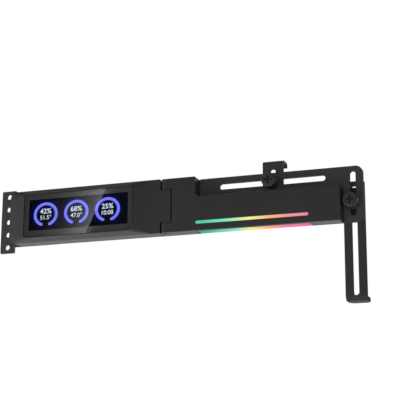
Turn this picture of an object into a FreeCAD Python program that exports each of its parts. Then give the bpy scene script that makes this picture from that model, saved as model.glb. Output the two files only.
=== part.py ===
import FreeCAD, Part
import math
import os

# Graphics card support bracket: a display housing on a slot rail plate, hinged to a lit support bar
# that carries an adjustable top hook and an adjustable lower leg. Millimetres, Z up, Y to the back.
# The origin is the middle rail hole, on the back face of the mount plate.

# Slot rail plate
hole_pitch = 10.16
hole_count = 5
hole_d = 4.0
strip_w = 12.4
strip_h = 50.0
strip_corner_r = 1.0
mount_t = 1.5
tab_edge = 0.2
tab_end_x = 46.0
tab_corner_r = 3.0

# Section shared by the display housing and the bar
body_h = 41.0
plate_t = 2.0
cover_rise = 10.2
wall = 1.8

# Display housing
housing_x0 = 8.1
housing_corner_r = 6.0
slope_end_x = 126.9
slope_end_r = 0.6
panel_x0 = 20.8
panel_x1 = 113.5
panel_rise = 2.8
panel_corner_r = 3.0
lip_w = 0.9
lens_t = 1.1
lens_recess = 0.1
ledge_t = 0.8
ledge_w = 2.6
lcd_w = 88.0
lcd_edge = 6.0
lcd_t = 2.4
rim_w = 1.2
cavity_end_gap = 4.2
front_edge_r = 0.5

# Board and socket inside the display housing
board_w = 60.0
board_edge = 6.5
board_tab_gap = 4.0
board_t = 1.6
board_back_gap = 4.6
board_post_w = 4.0
board_post_inset = 4.0
board_peg_d = 2.2
board_peg_proud = 0.6
socket_w = 9.0
socket_h = 3.2
socket_wall = 0.35
socket_shelf = 2.0
socket_tongue_t = 0.7
socket_tongue_inset = 1.05
socket_tongue_drop = 1.0

# Hinge between the housing and the bar
hinge_x = 137.4
hinge_front_r = 2.9
tongue_r = 5.7
knuckle_h = 8.1
hinge_gap = 0.4
tongue_side_gap = 0.5
pin_d = 2.4
pin_end_inset = 0.4

# Bar
bar_x1 = 284.8
cover_end_gap = 14.4
block_x1 = 161.9
recess_drop = 15.0
recess_corner_r = 3.5
cover_corner_r = 3.0
block_corner_r = 1.0
cover_foot_r = 1.0
plate_top_r = 5.5
plate_foot_r = 4.0
plate_inset = 1.8
plate_x0 = 147.0

# Adjustment slots, sized for the M4 thumb screws
screw_d = 4.0
slot_w = 4.2
hook_slot_x0 = 177.4
hook_slot_x1 = 257.5
hook_slot_drop = 7.1
leg_slot_head = 3.9
leg_slot_foot = 4.8
leg_inset = 7.5

# Light strip
strip_x0 = 162.1
strip_x1 = 247.1
strip_rise = 6.25
light_h = 2.1
light_flange = 1.2
light_flange_t = 1.4
glow_lip = 2.8
glow_flange_t = 1.2
led_board_h = 5.6
led_board_t = 1.2
led_size = 5.0
led_t = 1.6
led_count = 14

# Hook that grips the upper edge of the card
hook_x = 217.8
hook_w = 15.6
hook_t = 1.8
hook_rise = 9.9
hook_len = 32.9
hook_depth = 11.4
hook_lip = 3.8
hook_bend_r = 2.6
hook_cut_head = 6.6
hook_cut_foot = 3.9

# Leg with the foot that carries the card
leg_w = 15.2
leg_t = 3.0
leg_top_drop = 10.9
leg_len = 85.1
leg_bend_r = 3.8
foot_depth = 14.0
foot_chamfer = 3.0
leg_cut_head = 3.1
leg_cut_foot = 3.7
leg_corner_r = 0.8

# Thumb screws, washers and nuts
leg_screw_drop = 15.7
head_d = 10.8
head_h = 9.5
head_neck_d = 8.6
head_neck_h = 1.4
knurl_count = 24
knurl_depth = 0.35
head_chamfer = 0.5
cross_w = 1.3
cross_span = 5.6
cross_depth = 2.2
washer_d = 10.0
washer_t = 1.0
nut_w = 7.0
nut_t = 3.2
nut_corner_r = 0.6
nut_key_h = 21.0
nut_key_gap = 0.2
nut_flange_w = 9.0
nut_flange_h = 23.6
nut_flange_t = 3.0
nut_flange_corner_r = 1.0
screw_tip = 0.8

# Small countersunk screws in the housings
small_screw_d = 2.5
small_head_d = 4.6
small_head_h = 1.1
small_screw_len = 7.0
mount_screw_len = 6.5
boss_d = 5.2
housing_screw_left = 9.0
housing_screw_right = 6.0
housing_screw_edge = 6.6
mount_screw_end = 6.0
mount_screw_pitch = 20.0
block_screw_end = 6.0
block_screw_edge = 7.5
cover_screw_end = 8.0
cover_screw_drop = 7.5

# Clearances
fit = 0.15
slide_gap = 0.1
thread_gap = 0.03
turn_gap = 0.05
pin_grip = 0.02
cut_over = 1.0

# Depths of the main planes, from the back of the mount plate to the front of the display
y_back = -mount_t
y_plate = y_back - plate_t
y_cover = y_plate - cover_rise
y_panel = y_cover - panel_rise
y_wall = y_cover + wall
y_slide = y_back + slide_gap
y_washer = y_plate - slide_gap
y_seat = y_washer - washer_t - turn_gap
half = body_h / 2

# Places that follow from the free end of the bar
cover_x1 = bar_x1 - cover_end_gap
leg_x = bar_x1 - leg_inset

# Heights that follow from the upper and lower edge of the body
tab_h = body_h - 2 * tab_edge
lcd_h = body_h - 2 * lcd_edge
board_h = body_h - 2 * board_edge
tongue_h = body_h - 2 * knuckle_h
recess_z = half - recess_drop
strip_z = -half + strip_rise
hook_slot_z = half - hook_slot_drop
leg_slot_z0 = -half + leg_slot_foot
leg_slot_z1 = half - leg_slot_head
hook_top_z = half + hook_rise
hook_foot_z = hook_top_z - hook_len
hook_cut_z0 = hook_foot_z + hook_cut_foot
hook_cut_z1 = hook_top_z - hook_cut_head
leg_top_z = half - leg_top_drop
leg_foot_z = leg_top_z - leg_len
leg_cut_z0 = leg_foot_z + leg_cut_foot
leg_cut_z1 = leg_top_z - leg_cut_head
leg_screw_z = leg_top_z - leg_screw_drop

# Places that follow from the hinge
hinge_y = y_cover + hinge_front_r
knuckle_x0 = hinge_x - hinge_front_r
housing_x1 = knuckle_x0 - hinge_gap
notch_x = hinge_x + tongue_r + hinge_gap
notch_half = tongue_h / 2 + tongue_side_gap

# Display stack, from the lens back to the board
panel_half = half - panel_rise
panel_mid_x = (panel_x0 + panel_x1) / 2
lens_seat_y = y_panel + lens_recess + lens_t
lcd_y = lens_seat_y + ledge_t
lcd_back_y = lcd_y + lcd_t
board_y1 = y_plate - board_back_gap
board_y0 = board_y1 - board_t
cavity_x1 = housing_x1 - cavity_end_gap

axis_y = FreeCAD.Vector(0, 1, 0)
axis_z = FreeCAD.Vector(0, 0, 1)


def front(x, z, y):
    return FreeCAD.Vector(x, y, z)


def plan(x, y, z):
    return FreeCAD.Vector(x, y, z)


def side(y, z, x):
    return FreeCAD.Vector(x, y, z)


normals = {
    front: axis_y,
    plan: axis_z,
    side: FreeCAD.Vector(1, 0, 0),
}


def corner_arc(before, corner, after, radius):
    # Tangent arc in place of a sharp corner, as its start, middle and end point.
    to_before = (before - corner).normalize()
    to_after = (after - corner).normalize()
    half_angle = to_before.getAngle(to_after) / 2
    reach = radius / math.tan(half_angle)
    bisector = (to_before + to_after).normalize()
    middle = corner + bisector * (radius / math.sin(half_angle) - radius)
    return corner + to_before * reach, middle, corner + to_after * reach


def outline(corners, view, level):
    # Closed wire through corners given as (u, v, radius), drawn in one of the three views.
    points = [view(u, v, level) for u, v, radius in corners]
    stops = []
    for i, (u, v, radius) in enumerate(corners):
        before = points[i - 1]
        after = points[(i + 1) % len(points)]
        if radius > 0:
            stops.append(corner_arc(before, points[i], after, radius))
        else:
            stops.append((points[i],))
    edges = []
    for i, stop in enumerate(stops):
        if len(stop) == 3:
            edges.append(Part.Arc(*stop).toShape())
        following = stops[(i + 1) % len(stops)][0]
        if (following - stop[-1]).Length > 1e-6:
            edges.append(Part.makeLine(stop[-1], following))
    return Part.Wire(edges)


def prism(corners, view, start, end):
    face = Part.Face(outline(corners, view, start))
    return face.extrude(normals[view] * (end - start))


def rectangle(u0, u1, v0, v1, radius=0.0):
    return [(u0, v0, radius), (u1, v0, radius), (u1, v1, radius), (u0, v1, radius)]


def slot(u0, u1, v0, v1):
    return rectangle(u0, u1, v0, v1, min(u1 - u0, v1 - v0) / 2)


def box(x0, x1, y0, y1, z0, z1):
    return prism(rectangle(x0, x1, z0, z1), front, y0, y1)


def rod_y(diameter, x, z, y0, y1):
    return Part.makeCylinder(diameter / 2, y1 - y0, FreeCAD.Vector(x, y0, z), axis_y)


def rod_z(diameter, x, y, z0, z1):
    return Part.makeCylinder(diameter / 2, z1 - z0, FreeCAD.Vector(x, y, z0), axis_z)


def fuse(first, others):
    return first.fuse(others).removeSplitter()


def cut(shape, others):
    return shape.cut(others).removeSplitter()


def round_front(shape, level, radius):
    # Softens the outer edges that lie in the front plane at the given depth.
    edges = [edge for edge in shape.Edges
             if abs(edge.BoundBox.YMin - level) < 1e-4 and abs(edge.BoundBox.YMax - level) < 1e-4]
    return shape.makeFillet(radius, edges)


def cross(x, z, y0, y1, width, span):
    bar_a = box(x - span / 2, x + span / 2, y0, y1, z - width / 2, z + width / 2)
    bar_b = box(x - width / 2, x + width / 2, y0, y1, z - span / 2, z + span / 2)
    return bar_a.fuse(bar_b)


def small_screw(x, z, y_face, length):
    # Countersunk screw driven from the back, head flush with the face it sits in.
    head_back = FreeCAD.Vector(x, y_face, z)
    head = Part.makeCone(small_head_d / 2, small_screw_d / 2, small_head_h, head_back, axis_y * -1)
    shank = rod_y(small_screw_d, x, z, y_face - length, y_face - small_head_h)
    return head.fuse(shank)


def small_hole(x, z, y_face, depth, gap):
    # Seat for a small screw: a countersink with a hole that runs on to the given depth.
    head_back = FreeCAD.Vector(x, y_face, z)
    hole_r = small_screw_d / 2 + gap
    sink = Part.makeCone(small_head_d / 2 + gap, hole_r, small_head_h, head_back, axis_y * -1)
    hole = rod_y(2 * hole_r, x, z, y_face - depth, y_face)
    return sink.fuse(hole)


def save(name, shape):
    shape.exportStep("parts/" + name + ".step")
    print(name, len(shape.Solids), round(shape.Volume, 1))


housing_screw_spots = [
    (x, z)
    for x in (housing_x0 + housing_screw_left, cavity_x1 - housing_screw_right)
    for z in (-half + housing_screw_edge, half - housing_screw_edge)
]
mount_screw_x1 = tab_end_x - mount_screw_end
mount_screw_spots = [(mount_screw_x1 - mount_screw_pitch, 0), (mount_screw_x1, 0)]
cover_screw_z = recess_z - cover_screw_drop
cover_screw_spots = [
    (plate_x0 + block_screw_end, half - block_screw_edge),
    (plate_x0 + block_screw_end, -half + block_screw_edge),
    ((block_x1 + cover_x1) / 2, cover_screw_z),
    (cover_x1 - cover_screw_end, cover_screw_z),
]
board_x0 = tab_end_x + board_tab_gap
board_x1 = board_x0 + board_w
socket_x = (board_x0 + board_x1) / 2
board_post_spots = [
    (x, z)
    for x in (board_x0 + board_post_inset, board_x1 - board_post_inset)
    for z in (-board_h / 2 + board_post_inset, board_h / 2 - board_post_inset)
]
board_peg_spots = [board_post_spots[0], board_post_spots[-1]]


def make_mount_plate():
    strip = rectangle(-strip_w / 2, strip_w / 2, -strip_h / 2, strip_h / 2, strip_corner_r)
    plate = prism(strip, front, y_back, 0)
    tab = prism(
        [(0, -tab_h / 2, 0), (tab_end_x, -tab_h / 2, tab_corner_r), (tab_end_x, tab_h / 2, tab_corner_r),
         (0, tab_h / 2, 0)],
        front, y_back, 0)
    plate = fuse(plate, [tab])
    first_z = -hole_pitch * (hole_count - 1) / 2
    holes = [rod_y(hole_d, 0, first_z + i * hole_pitch, y_back, 0) for i in range(hole_count)]
    seats = [small_hole(x, z, 0, mount_t, fit) for x, z in mount_screw_spots]
    return cut(plate, holes + seats)


def panel_outline(inset):
    return rectangle(
        panel_x0 + inset, panel_x1 - inset, -panel_half + inset, panel_half - inset, panel_corner_r)


def lens_outline(inset):
    return rectangle(
        panel_x0 + lip_w + inset, panel_x1 - lip_w - inset,
        -panel_half + lip_w + inset, panel_half - lip_w - inset, panel_corner_r - lip_w)


def lcd_outline(gap):
    return rectangle(
        panel_mid_x - lcd_w / 2 - gap, panel_mid_x + lcd_w / 2 + gap, -lcd_h / 2 - gap, lcd_h / 2 + gap)


def housing_outline(inset, x1):
    left_r = housing_corner_r - inset
    right_r = slope_end_r
    return [
        (housing_x0 + inset, -half + inset, left_r),
        (x1, -half + inset, right_r),
        (x1, half - inset, right_r),
        (housing_x0 + inset, half - inset, left_r),
    ]


def make_tongue():
    # Middle knuckle of the hinge: its front corner is struck from the pin so the bar can roll past it.
    reach = math.sqrt(tongue_r ** 2 - hinge_front_r ** 2)
    turn = math.atan2(-hinge_front_r, reach) / 2
    z0 = -tongue_h / 2
    start = plan(hinge_x + reach, y_cover, z0)
    middle = plan(hinge_x + tongue_r * math.cos(turn), hinge_y + tongue_r * math.sin(turn), z0)
    end = plan(hinge_x + tongue_r, hinge_y, z0)
    back = plan(hinge_x + tongue_r, y_back, z0)
    root_back = plan(housing_x1 - wall, y_back, z0)
    root_front = plan(housing_x1 - wall, y_cover, z0)
    edges = [
        Part.makeLine(root_front, start),
        Part.Arc(start, middle, end).toShape(),
        Part.makeLine(end, back),
        Part.makeLine(back, root_back),
        Part.makeLine(root_back, root_front),
    ]
    return Part.Face(Part.Wire(edges)).extrude(axis_z * tongue_h)


def make_front_housing():
    slab = prism(housing_outline(0, housing_x1), front, y_cover, y_back)
    sections = [
        outline(housing_outline(0, slope_end_x), front, y_cover),
        outline(panel_outline(0), front, y_panel + front_edge_r),
        outline(panel_outline(front_edge_r), front, y_panel),
    ]
    bezel = Part.makeLoft(sections, True, True)
    shell = fuse(slab, [bezel, make_tongue()])

    lens_pocket = prism(lens_outline(0), front, y_panel, lens_seat_y)
    window = prism(lens_outline(ledge_w), front, lens_seat_y, lcd_y)
    lcd_pocket = prism(lcd_outline(fit), front, lcd_y, y_wall)
    cavity = prism(housing_outline(2 * rim_w, cavity_x1), front, y_wall, y_plate)
    back_seat = prism(housing_outline(rim_w, cavity_x1 + rim_w), front, y_plate, y_back)
    pin_bore = rod_z(pin_d + 2 * pin_grip, hinge_x, hinge_y, -half, half)
    shell = cut(shell, [lens_pocket, window, lcd_pocket, cavity, back_seat, pin_bore])

    bosses = [rod_y(boss_d, x, z, y_wall, y_plate) for x, z in housing_screw_spots]
    shell = fuse(shell, bosses)
    pilots = [
        rod_y(small_screw_d + 2 * thread_gap, x, z, y_back - small_screw_len - fit, y_plate)
        for x, z in housing_screw_spots
    ]
    return cut(shell, pilots)


def make_rear_housing():
    plate = prism(housing_outline(rim_w + fit, cavity_x1 + rim_w - fit), front, y_plate, y_back)
    post_half = board_post_w / 2
    posts = [
        box(x - post_half, x + post_half, board_y1, y_plate, z - post_half, z + post_half)
        for x, z in board_post_spots
    ]
    pegs = [rod_y(board_peg_d, x, z, board_y0 - board_peg_proud, board_y1) for x, z in board_peg_spots]
    screw_post_y = y_back - mount_screw_len - wall
    screw_posts = [rod_y(boss_d, x, z, screw_post_y, y_plate) for x, z in mount_screw_spots]
    plate = fuse(plate, posts + pegs + screw_posts)
    seats = [small_hole(x, z, y_back, plate_t, fit) for x, z in housing_screw_spots]
    pilots = [
        rod_y(small_screw_d + 2 * thread_gap, x, z, -mount_screw_len - fit, y_back)
        for x, z in mount_screw_spots
    ]
    socket_mouth = prism(socket_outline(fit), front, y_plate, y_back)
    return cut(plate, seats + pilots + [socket_mouth])


def make_lens():
    return prism(lens_outline(fit), front, y_panel + lens_recess, lens_seat_y)


def make_lcd():
    return prism(lcd_outline(0), front, lcd_y, lcd_back_y)


def make_control_board():
    sheet = box(board_x0, board_x1, board_y0, board_y1, -board_h / 2, board_h / 2)
    peg_holes = [rod_y(board_peg_d + 2 * fit, x, z, board_y0, board_y1) for x, z in board_peg_spots]
    return cut(sheet, peg_holes)


def socket_outline(gap):
    return slot(
        socket_x - socket_w / 2 - gap, socket_x + socket_w / 2 + gap,
        -socket_h / 2 - gap, socket_h / 2 + gap)


def make_socket():
    shell = prism(socket_outline(0), front, board_y1, y_back)
    mouth = prism(socket_outline(-socket_wall), front, board_y1 + socket_shelf, y_back)
    tongue_half = socket_w / 2 - socket_tongue_inset
    tongue = box(
        socket_x - tongue_half, socket_x + tongue_half,
        board_y1 + socket_shelf, y_back - socket_tongue_drop,
        -socket_tongue_t / 2, socket_tongue_t / 2)
    return fuse(cut(shell, [mouth]), [tongue])


def make_hinge_pin():
    return rod_z(pin_d, hinge_x, hinge_y, -half + pin_end_inset, half - pin_end_inset)


def plate_outline(gap):
    # Sheet outline: tucked into the cover below and beside the block, full height beyond them.
    low = half - plate_inset
    step_x = cover_x1 + fit - gap
    return [
        (plate_x0 - gap, -low - gap, 0),
        (step_x, -low - gap, 0),
        (step_x, -half, 0),
        (bar_x1, -half, plate_foot_r),
        (bar_x1, half, plate_top_r),
        (block_x1 + fit - gap, half, 0),
        (block_x1 + fit - gap, low + gap, 0),
        (plate_x0 - gap, low + gap, 0),
    ]


def make_base_plate():
    plate = prism(plate_outline(0), front, y_plate, y_back)
    hook_slot = prism(
        slot(hook_slot_x0, hook_slot_x1, hook_slot_z - slot_w / 2, hook_slot_z + slot_w / 2),
        front, y_plate, y_back)
    leg_slot = prism(
        slot(leg_x - slot_w / 2, leg_x + slot_w / 2, leg_slot_z0, leg_slot_z1), front, y_plate, y_back)
    seats = [small_hole(x, z, y_back, plate_t, fit) for x, z in cover_screw_spots]
    return cut(plate, [hook_slot, leg_slot] + seats)


def light_outline(gap):
    return slot(strip_x0 - gap, strip_x1 + gap, strip_z - light_h / 2 - gap, strip_z + light_h / 2 + gap)


def glow_box(gap, z0, z1):
    # Window in the bottom wall of the cover, from a lip at the front to the open back.
    return box(
        strip_x0 - gap, strip_x1 + gap, y_cover + glow_lip - gap, y_back, z0, z1)


def make_bar_cover():
    outer = [
        (knuckle_x0, -half, 0),
        (cover_x1, -half, cover_foot_r),
        (cover_x1, recess_z, cover_corner_r),
        (block_x1, recess_z, recess_corner_r),
        (block_x1, half, block_corner_r),
        (knuckle_x0, half, 0),
    ]
    inner_x0 = notch_x + wall
    inner = [
        (inner_x0, -half + wall, 0),
        (cover_x1 - wall, -half + wall, 0),
        (cover_x1 - wall, recess_z - wall, 0),
        (block_x1 - wall, recess_z - wall, 0),
        (block_x1 - wall, half - wall, 0),
        (inner_x0, half - wall, 0),
    ]
    shell = round_front(prism(outer, front, y_cover, y_back), y_cover, front_edge_r)
    cavity = prism(inner, front, y_wall, y_plate)
    plate_seat = prism(plate_outline(fit), front, y_plate, y_back)
    left = knuckle_x0 - cut_over
    notch = box(left, notch_x, y_cover - cut_over, y_back + cut_over, -notch_half, notch_half)
    corner = box(left, hinge_x, y_cover - cut_over, hinge_y, -half, half)
    barrel = rod_z(2 * hinge_front_r, hinge_x, hinge_y, -half, half)
    pin_bore = rod_z(pin_d + 2 * turn_gap, hinge_x, hinge_y, -half, half)
    light = prism(light_outline(fit), front, y_cover, y_wall)
    glow = glow_box(fit, -half, -half + wall)
    shell = cut(shell, [cavity, plate_seat, notch, corner.cut(barrel), pin_bore, light, glow])

    bosses = [rod_y(boss_d, x, z, y_wall, y_plate) for x, z in cover_screw_spots]
    shell = fuse(shell, bosses)
    pilots = [
        rod_y(small_screw_d + 2 * thread_gap, x, z, y_back - small_screw_len - fit, y_plate)
        for x, z in cover_screw_spots
    ]
    return cut(shell, pilots)


def make_front_diffuser():
    window = prism(light_outline(0), front, y_cover + fit, y_wall)
    flange = prism(light_outline(light_flange), front, y_wall, y_wall + light_flange_t)
    return fuse(window, [flange])


def make_lower_diffuser():
    window = glow_box(0, -half + fit, -half + wall)
    flange = box(
        strip_x0 - light_flange, strip_x1 + light_flange,
        y_wall + fit, y_plate - fit, -half + wall, -half + wall + glow_flange_t)
    return fuse(window, [flange])


def make_led_board():
    return box(
        strip_x0, strip_x1, y_plate - led_board_t, y_plate,
        strip_z - led_board_h / 2, strip_z + led_board_h / 2)


def make_leds():
    pitch = (strip_x1 - strip_x0) / led_count
    y1 = y_plate - led_board_t
    leds = []
    for i in range(led_count):
        x = strip_x0 + (i + 0.5) * pitch
        leds.append(box(
            x - led_size / 2, x + led_size / 2, y1 - led_t, y1,
            strip_z - led_size / 2, strip_z + led_size / 2))
    return Part.makeCompound(leds)


def make_clip_hook():
    x0 = hook_x - hook_w / 2
    back_y = y_slide + hook_depth
    inner_r = hook_bend_r - hook_t
    profile = [
        (y_slide, hook_foot_z, 0),
        (y_slide, hook_top_z, hook_bend_r),
        (back_y, hook_top_z, hook_bend_r),
        (back_y, hook_top_z - hook_lip, 0),
        (back_y - hook_t, hook_top_z - hook_lip, 0),
        (back_y - hook_t, hook_top_z - hook_t, inner_r),
        (y_slide + hook_t, hook_top_z - hook_t, inner_r),
        (y_slide + hook_t, hook_foot_z, 0),
    ]
    sheet = prism(profile, side, x0, x0 + hook_w)
    opening = prism(
        slot(hook_x - slot_w / 2, hook_x + slot_w / 2, hook_cut_z0, hook_cut_z1),
        front, y_slide, y_slide + hook_t)
    return cut(sheet, [opening])


def make_support_leg():
    x0 = leg_x - leg_w / 2
    x1 = leg_x + leg_w / 2
    back_y = y_slide + foot_depth
    inner_r = leg_bend_r - leg_t
    profile = [
        (y_slide, leg_foot_z, leg_bend_r),
        (back_y, leg_foot_z, 0),
        (back_y, leg_foot_z + leg_t, 0),
        (y_slide + leg_t, leg_foot_z + leg_t, inner_r),
        (y_slide + leg_t, leg_top_z, 0),
        (y_slide, leg_top_z, 0),
    ]
    sheet = prism(profile, side, x0, x1)
    foot_trim = prism(
        [(x0, y_slide, 0), (x1, y_slide, 0), (x1, back_y - foot_chamfer, 0), (x1 - foot_chamfer, back_y, 0),
         (x0 + foot_chamfer, back_y, 0), (x0, back_y - foot_chamfer, 0)],
        plan, leg_foot_z, leg_top_z)
    top_trim = prism(
        [(x0, leg_foot_z, 0), (x1, leg_foot_z, 0),
         (x1, leg_top_z, leg_corner_r), (x0, leg_top_z, leg_corner_r)],
        front, y_slide, back_y)
    opening = prism(
        slot(leg_x - slot_w / 2, leg_x + slot_w / 2, leg_cut_z0, leg_cut_z1),
        front, y_slide, y_slide + leg_t)
    return cut(sheet.common(foot_trim).common(top_trim), [opening])


def make_thumb_screw(x, z, y_tip):
    # Turned head with a knurled barrel on a plain neck, a cross recess and an M4 shank.
    y_neck = y_seat - head_neck_h
    y_face = y_seat - head_h
    corners = []
    for i in range(2 * knurl_count):
        angle = math.pi * i / knurl_count
        radius = head_d / 2 - knurl_depth * (i % 2)
        corners.append((x + radius * math.cos(angle), z + radius * math.sin(angle), 0))
    barrel = prism(corners, front, y_face, y_neck)
    trim_r = head_d / 2
    blank = Part.Face(Part.makePolygon([
        FreeCAD.Vector(x, y_face, z),
        FreeCAD.Vector(x + trim_r - head_chamfer, y_face, z),
        FreeCAD.Vector(x + trim_r, y_face + head_chamfer, z),
        FreeCAD.Vector(x + trim_r, y_neck, z),
        FreeCAD.Vector(x, y_neck, z),
        FreeCAD.Vector(x, y_face, z),
    ])).revolve(FreeCAD.Vector(x, 0, z), axis_y, 360)
    neck = rod_y(head_neck_d, x, z, y_neck, y_seat)
    shank = rod_y(screw_d, x, z, y_seat, y_tip)
    recess = cross(x, z, y_face, y_face + cross_depth, cross_w, cross_span)
    return barrel.common(blank).fuse([neck, shank]).cut(recess)


def make_washer(x, z):
    ring = rod_y(washer_d, x, z, y_washer - washer_t, y_washer)
    return ring.cut(rod_y(screw_d + 2 * turn_gap, x, z, y_washer - washer_t, y_washer))


hook_nut_y = y_slide + hook_t + slide_gap
leg_nut_y = y_slide + leg_t + slide_gap


def make_clip_nut():
    y1 = hook_nut_y + nut_t
    nut_half = nut_w / 2
    body = prism(
        rectangle(
            hook_x - nut_half, hook_x + nut_half,
            hook_slot_z - nut_half, hook_slot_z + nut_half, nut_corner_r),
        front, hook_nut_y, y1)
    return body.cut(rod_y(screw_d + 2 * turn_gap, hook_x, hook_slot_z, hook_nut_y, y1))


def make_leg_nut():
    # Long slider nut: its rounded key runs in the slot of the leg and keeps the nut from turning.
    y1 = leg_nut_y + nut_flange_t
    key_w = slot_w - 2 * nut_key_gap
    flange = prism(
        rectangle(
            leg_x - nut_flange_w / 2, leg_x + nut_flange_w / 2,
            leg_screw_z - nut_flange_h / 2, leg_screw_z + nut_flange_h / 2, nut_flange_corner_r),
        front, leg_nut_y, y1)
    key = prism(
        slot(
            leg_x - key_w / 2, leg_x + key_w / 2,
            leg_screw_z - nut_key_h / 2, leg_screw_z + nut_key_h / 2),
        front, y_slide, leg_nut_y)
    nut = fuse(flange, [key])
    return nut.cut(rod_y(screw_d + 2 * turn_gap, leg_x, leg_screw_z, y_slide, y1))


os.makedirs("parts", exist_ok=True)
save("mount_plate", make_mount_plate())
save("front_housing", make_front_housing())
save("rear_housing", make_rear_housing())
save("display_lens", make_lens())
save("lcd_panel", make_lcd())
save("control_board", make_control_board())
save("lead_socket", make_socket())
save("housing_screws", Part.makeCompound(
    [small_screw(x, z, y_back, small_screw_len) for x, z in housing_screw_spots]))
save("mount_plate_screws", Part.makeCompound(
    [small_screw(x, z, 0, mount_screw_len) for x, z in mount_screw_spots]))
save("hinge_pin", make_hinge_pin())
save("base_plate", make_base_plate())
save("bar_cover", make_bar_cover())
save("front_diffuser", make_front_diffuser())
save("lower_diffuser", make_lower_diffuser())
save("led_board", make_led_board())
save("leds", make_leds())
save("cover_screws", Part.makeCompound(
    [small_screw(x, z, y_back, small_screw_len) for x, z in cover_screw_spots]))
save("clip_hook", make_clip_hook())
save("clip_screw", make_thumb_screw(hook_x, hook_slot_z, hook_nut_y + nut_t + screw_tip))
save("clip_washer", make_washer(hook_x, hook_slot_z))
save("clip_nut", make_clip_nut())
save("support_leg", make_support_leg())
save("leg_screw", make_thumb_screw(leg_x, leg_screw_z, leg_nut_y + nut_flange_t + screw_tip))
save("leg_washer", make_washer(leg_x, leg_screw_z))
save("leg_nut", make_leg_nut())
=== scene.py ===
import math

import bpy
from mathutils import Matrix, Vector


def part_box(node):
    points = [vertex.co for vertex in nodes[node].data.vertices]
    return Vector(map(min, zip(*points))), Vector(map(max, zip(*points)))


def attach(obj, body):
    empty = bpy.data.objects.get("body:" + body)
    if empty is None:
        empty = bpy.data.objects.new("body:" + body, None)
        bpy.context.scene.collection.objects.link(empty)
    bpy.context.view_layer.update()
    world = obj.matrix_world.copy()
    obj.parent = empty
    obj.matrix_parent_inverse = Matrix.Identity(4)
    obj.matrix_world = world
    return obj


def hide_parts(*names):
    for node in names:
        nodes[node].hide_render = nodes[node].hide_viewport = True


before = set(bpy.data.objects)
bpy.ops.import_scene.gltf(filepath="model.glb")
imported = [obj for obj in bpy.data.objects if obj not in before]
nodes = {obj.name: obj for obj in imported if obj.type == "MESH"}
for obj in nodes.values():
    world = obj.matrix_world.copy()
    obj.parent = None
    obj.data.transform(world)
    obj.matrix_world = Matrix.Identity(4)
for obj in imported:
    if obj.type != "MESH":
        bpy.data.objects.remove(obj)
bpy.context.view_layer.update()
mm = 0.001
print("frame loaded:", len(nodes), "nodes")


def feed(tree, socket, value):
    # gives an input a fixed value, another node's socket, or a list of them
    if isinstance(value, list):
        for source in value:
            tree.links.new(source, socket)
    elif isinstance(value, bpy.types.NodeSocket):
        tree.links.new(value, socket)
    else:
        socket.default_value = value


def feedAll(tree, node, values):
    for name, value in values.items():
        feed(tree, node.inputs[name], value)


def addNode(tree, kind, values=None, **settings):
    node = tree.nodes.new(kind)
    for name, value in settings.items():
        setattr(node, name, value)
    feedAll(tree, node, values or {})
    return node


def mathNode(tree, operation, *values):
    return addNode(tree, "ShaderNodeMath", dict(enumerate(values)), operation=operation).outputs[0]


def rangeNode(tree, value, low, high, start=0.0):
    # start to 1 with soft ends, as the value goes from low to high
    ends = {"Value": value, "From Min": low, "From Max": high, "To Min": start}
    return addNode(tree, "ShaderNodeMapRange", ends, interpolation_type="SMOOTHSTEP").outputs["Result"]


def mixValue(tree, share, first, second):
    # 2 and 3 are the number sockets of a Mix node
    return addNode(tree, "ShaderNodeMix", {0: share, 2: first, 3: second}, data_type="FLOAT").outputs[0]


def mixColour(tree, share, first, second):
    # 6 and 7 are the colour sockets of a Mix node
    return addNode(tree, "ShaderNodeMix", {0: share, 6: first, 7: second}, data_type="RGBA").outputs[2]


def newGroup(name, inputs, outputs):
    tree = bpy.data.node_groups.new(name, "ShaderNodeTree")
    for way, sockets in (("INPUT", inputs), ("OUTPUT", outputs)):
        for label, kind in sockets:
            tree.interface.new_socket(name=label, in_out=way, socket_type="NodeSocket" + kind)
    return tree, addNode(tree, "NodeGroupInput").outputs, addNode(tree, "NodeGroupOutput")


def placeGroup(tree, group, values):
    return addNode(tree, "ShaderNodeGroup", values, node_tree=group).outputs


def srgb(red, green, blue):
    # an on-screen colour, 0 to 255, as the linear value the shader wants
    def linear(c):
        c = c / 255
        return c / 12.92 if c <= 0.04045 else ((c + 0.055) / 1.055) ** 2.4
    return linear(red), linear(green), linear(blue), 1.0


# fine grain of moulded plastic, powder coat and blackened steel
grainMix = {"fineDetail": 3, "cloudDetail": 4, "pitShare": 0.6, "edgeSamples": 6}


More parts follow.
